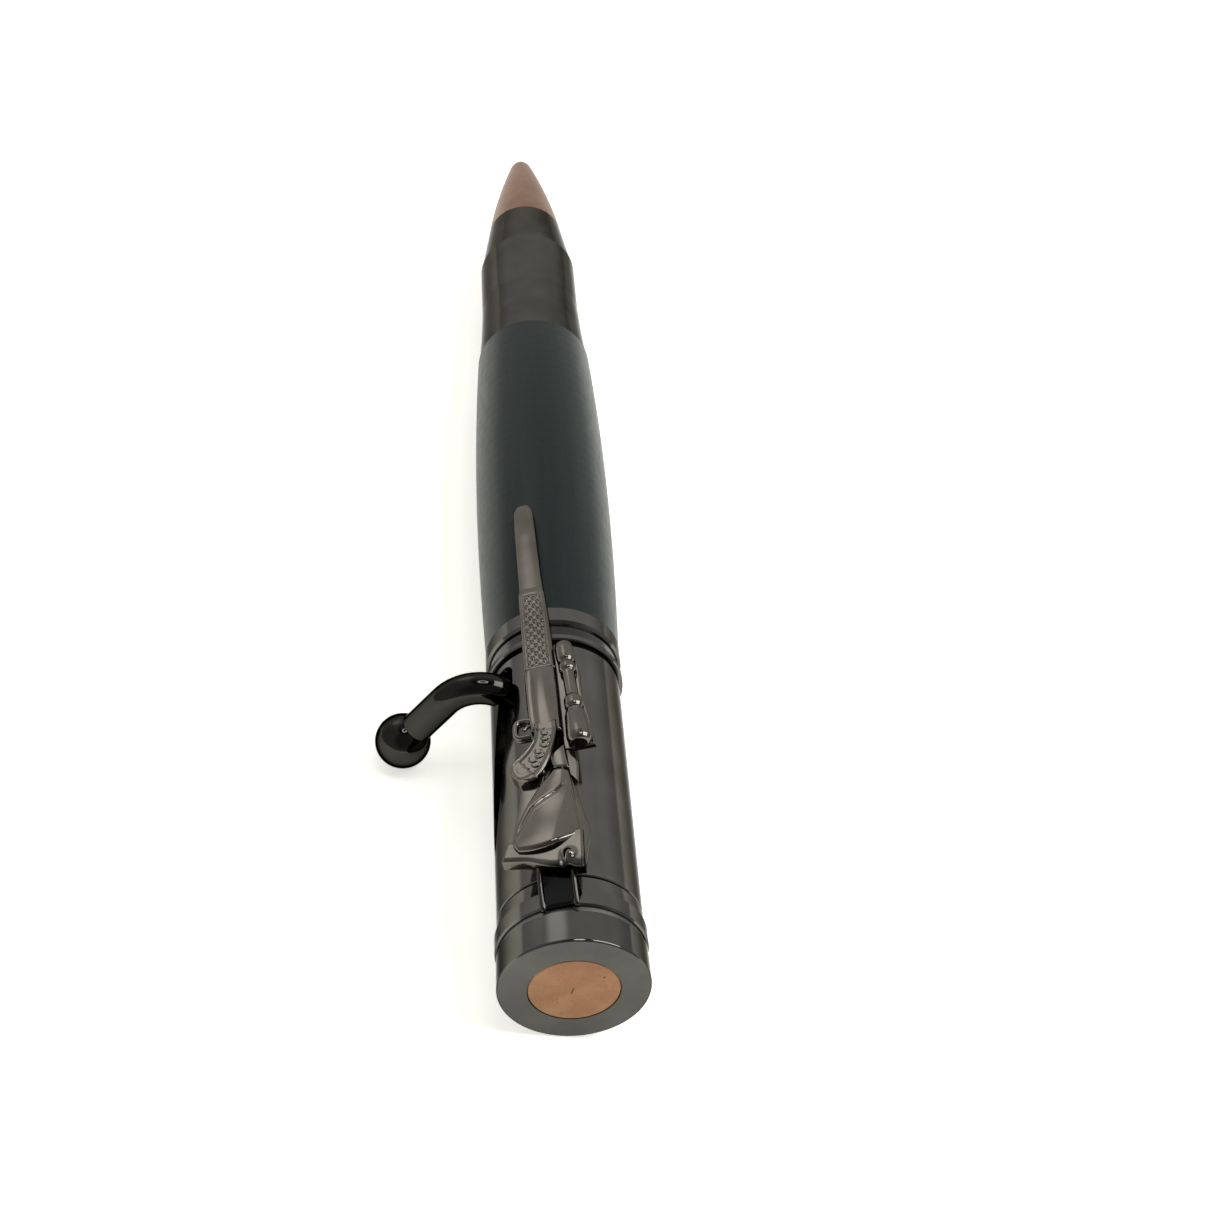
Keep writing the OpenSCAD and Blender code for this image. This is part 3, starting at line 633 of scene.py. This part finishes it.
def cast_post(geo):
    """The post from under the pad, over the rings and down into the groove, hollowed between two ribs."""
    # the two faces of the post as (x, height), away from the pen and towards it
    outer = [(8.6, 8.0), (7.2, 7.9), (5.9, 7.6), (4.9, 7.28), (4.1, 7.0), (3.52, 6.72), (3.42, 6.38)]
    inner = [(8.6, 7.4), (7.2, 7.15), (6.0, 6.95), (5.0, 6.84), (4.2, 6.79), (3.86, 6.74), (3.74, 6.38)]
    count = 44
    # the outer face's section as (side, depth of the cut), with a rib at either end
    section = [(-2.1, 0.16), (-2.06, 0.06), (-1.95, 0.0), (-1.76, 0.0), (-1.7, 0.06), (-1.62, 0.4),
               (-1.4, 0.5), (0.5, 0.5), (0.76, 0.4), (0.84, 0.06), (0.92, 0.0), (1.08, 0.0), (1.19, 0.06),
               (1.24, 0.16)]
    first_side, last_side = section[0][0], section[-1][0]
    deepest, inner_cut, inner_limit = 0.7, 0.06, 0.3
    verts = geo[0]
    base = len(verts)
    for o, i in zip(smooth_line(outer, count), smooth_line(inner, count)):
        thick = math.dist(o, i)
        for side, cut in section:
            f = min(deepest, cut / thick)
            verts.append(clip_point(o[0] + (i[0] - o[0]) * f, side, o[1] + (i[1] - o[1]) * f))
        for side in (last_side, first_side):
            f = min(inner_limit, inner_cut / thick)
            verts.append(clip_point(i[0] + (o[0] - i[0]) * f, side, i[1] + (o[1] - i[1]) * f))
    close_tube(geo, base, count, len(section) + 2)


def cast_scope(geo):
    """The scope with its bells, tube and rings, on a thin web, and the web's tail."""
    length = 13.3
    # its outline as (share of the length from the front, radius)
    scope = [(0.0, 0.0), (0.0, 0.45), (0.008, 0.66), (0.03, 0.82), (0.07, 0.88), (0.14, 0.88), (0.185, 0.8),
             (0.2, 0.64), (0.212, 0.6), (0.22, 0.72), (0.24, 0.8), (0.275, 0.8), (0.29, 0.72), (0.3, 0.58),
             (0.36, 0.56), (0.55, 0.58), (0.56, 0.72), (0.58, 0.84), (0.645, 0.86), (0.66, 0.74),
             (0.668, 0.66), (0.69, 0.84), (0.74, 1.0), (0.88, 1.14), (0.935, 1.16), (0.97, 1.08),
             (0.993, 0.9), (1.0, 0.65), (1.0, 0.0)]
    profile = rounded_profile([(a * length, b) for a, b in scope], edge=0.09)
    profile = [(a / length, b) for a, b in profile]
    cast_turned(geo, (33.5, -2.5), (20.2, -3.45), height=8.25, profile=profile, sides=56, flat=0.92)
    cast_pad(geo, [(33.2, -1.2), (30, -1.4), (26, -1.6), (22, -1.8), (20.2, -1.9)],
             [(33.0, -3.3), (30.4, -3.75), (27, -3.85), (24, -4.35), (20.2, -4.72)],
             foot=7.4, top=lambda u, w, x, side: 7.85, edge=0.14, along=70, across=10)
    cast_pad(geo, [(20.9, -1.6), (19.6, -1.5), (18.2, -1.6)], [(20.6, -2.6), (18.6, -3.0), (16.2, -2.9)],
             foot=7.4, top=lambda u, w, x, side: 7.8 - 0.15 * w, edge=0.14, along=26, across=10)


def make_clip(look):
    """The casting as one mesh, which takes the place of the plain clip and moves with it."""
    geo = ([], [])
    for cast in (cast_barrel, cast_receiver, cast_grip, cast_trigger, cast_stock, cast_plates,
                 cast_rear_pad, cast_post, cast_scope):
        cast(geo)
    me = bpy.data.meshes.new("clip_casting")
    me.from_pydata(geo[0], [], geo[1])
    me.validate()
    ob = bpy.data.objects.new("clip_casting", me)
    bpy.context.collection.objects.link(ob)
    tidy_normals(ob)
    me.materials.append(look)
    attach(ob, "clip")
    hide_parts("clip")


def tidy_normals(ob):
    """Turns every face outwards and shades the mesh smooth, with creases where it bends sharply."""
    crease = math.radians(48)
    bm = bmesh.new()
    bm.from_mesh(ob.data)
    bmesh.ops.recalc_face_normals(bm, faces=bm.faces)
    for face in bm.faces:
        face.smooth = True
    for e in bm.edges:
        if len(e.link_faces) == 2 and e.calc_face_angle(0.0) > crease:
            e.smooth = False
    bm.to_mesh(ob.data)
    bm.free()


# ---------------------------------------------------------------- floor and light
# The pen lies on the barrel's belly and on the ring behind the housing, and the floor's plane just clears
# both. Their places along the pen and their radii are in mm.
BELLY_X, BELLY_R = 66.5, 7.22
RING_X, RING_R = 4.0, 6.6
FLOOR_GAP = 0.01
FLOOR_HALF = 1.5                # metres

# Light round the pen: the direction it comes from, the angles in degrees at which it begins to fall and
# has gone, and its strength. A negative strength takes light away.
PATCHES = [
    ((0, 0, 1), 179, 180, 0.42),            # the same from all round
    ((0.74, 0.0, 0.62), 22, 58, 0.36),      # a glow high up beyond the tip
    ((0.15, 0, 1), 14, 30, -0.42),          # a darker roof
    ((-0.62, 0.0, 0.62), 18, 48, -0.24),    # a darker space high up behind the cap
    ((1.0, 0.0, 0.0), 10, 27, 0.5),         # the wall beyond the tip
    ((0.7, 0.71, 0.08), 12, 30, 0.25),      # that wall's two corners
    ((0.7, -0.71, 0.08), 12, 30, 0.25),
    ((0.63, 0.42, 0.66), 5, 15, 1.1),       # a lamp beyond the tip, on the handle's side
    ((0.0, 0.02, 1), 8.5, 9.5, 9.0),        # ring lamp in the roof: a disc
    ((0.0, 0.02, 1), 5.0, 6.0, -9.0),       # and the hole in it
]
KEY_SPOT, KEY_AIM = (0.05, -0.4, 0.55), (0.06, 0, 0)    # metres
KEY_SIZE, KEY_POWER = 0.45, 3.6                         # metres and watts


def make_floor():
    """A pale matt table top, lifted to near white by a little light of its own."""
    me = bpy.data.meshes.new("floor")
    s = FLOOR_HALF
    me.from_pydata([(-s, -s, 0), (s, -s, 0), (s, s, 0), (-s, s, 0)], [], [(0, 1, 2, 3)])
    ob = bpy.data.objects.new("floor", me)
    bpy.context.collection.objects.link(ob)
    ob.rotation_euler = (0, math.atan2(BELLY_R - RING_R, BELLY_X - RING_X), 0)
    ob.location = (BELLY_X * MM, 0, -(BELLY_R + FLOOR_GAP) * MM)
    mat, _, bsdf = new_material("floor")
    bsdf.inputs["Base Color"].default_value = (0.86, 0.86, 0.81, 1)
    bsdf.inputs["Roughness"].default_value = 0.9
    bsdf.inputs["Emission Color"].default_value = (1.0, 1.0, 0.94, 1)
    bsdf.inputs["Emission Strength"].default_value = 0.64
    me.materials.append(mat)


def place_key():
    """One large soft lamp, high up on the side away from the handle."""
    data = bpy.data.lights.new("key", "AREA")
    data.shape = "RECTANGLE"
    data.size = data.size_y = KEY_SIZE
    data.energy = KEY_POWER
    ob = bpy.data.objects.new("key", data)
    ob.location = KEY_SPOT
    ob.rotation_euler = (Vector(KEY_AIM) - Vector(KEY_SPOT)).to_track_quat("-Z", "Y").to_euler()
    bpy.context.collection.objects.link(ob)


def make_studio():
    """A light tent, drawn on the world as soft patches that add up."""
    world = bpy.data.worlds.new("studio")
    world.use_nodes = True
    tree = world.node_tree
    around = add(tree, "ShaderNodeTexCoord").outputs["Generated"]
    total = None
    for direction, full, gone, strength in PATCHES:
        near = share_along(tree, around, Vector(direction).normalized())
        ramp = add(tree, "ShaderNodeMapRange", interpolation_type="SMOOTHSTEP",
                   **{"From Min": math.cos(math.radians(gone)), "From Max": math.cos(math.radians(full)),
                      "To Min": 0.0, "To Max": strength})
        tree.links.new(near, ramp.inputs["Value"])
        patch = ramp.outputs["Result"]
        total = patch if total is None else maths(tree, "ADD", total, patch)
    ground = tree.nodes["Background"]
    tree.links.new(total, ground.inputs["Strength"])
    ground.inputs["Color"].default_value = (1.0, 0.985, 0.96, 1)
    scene.world = world


make_clip(clip_mat)
make_floor()
make_studio()
place_key()
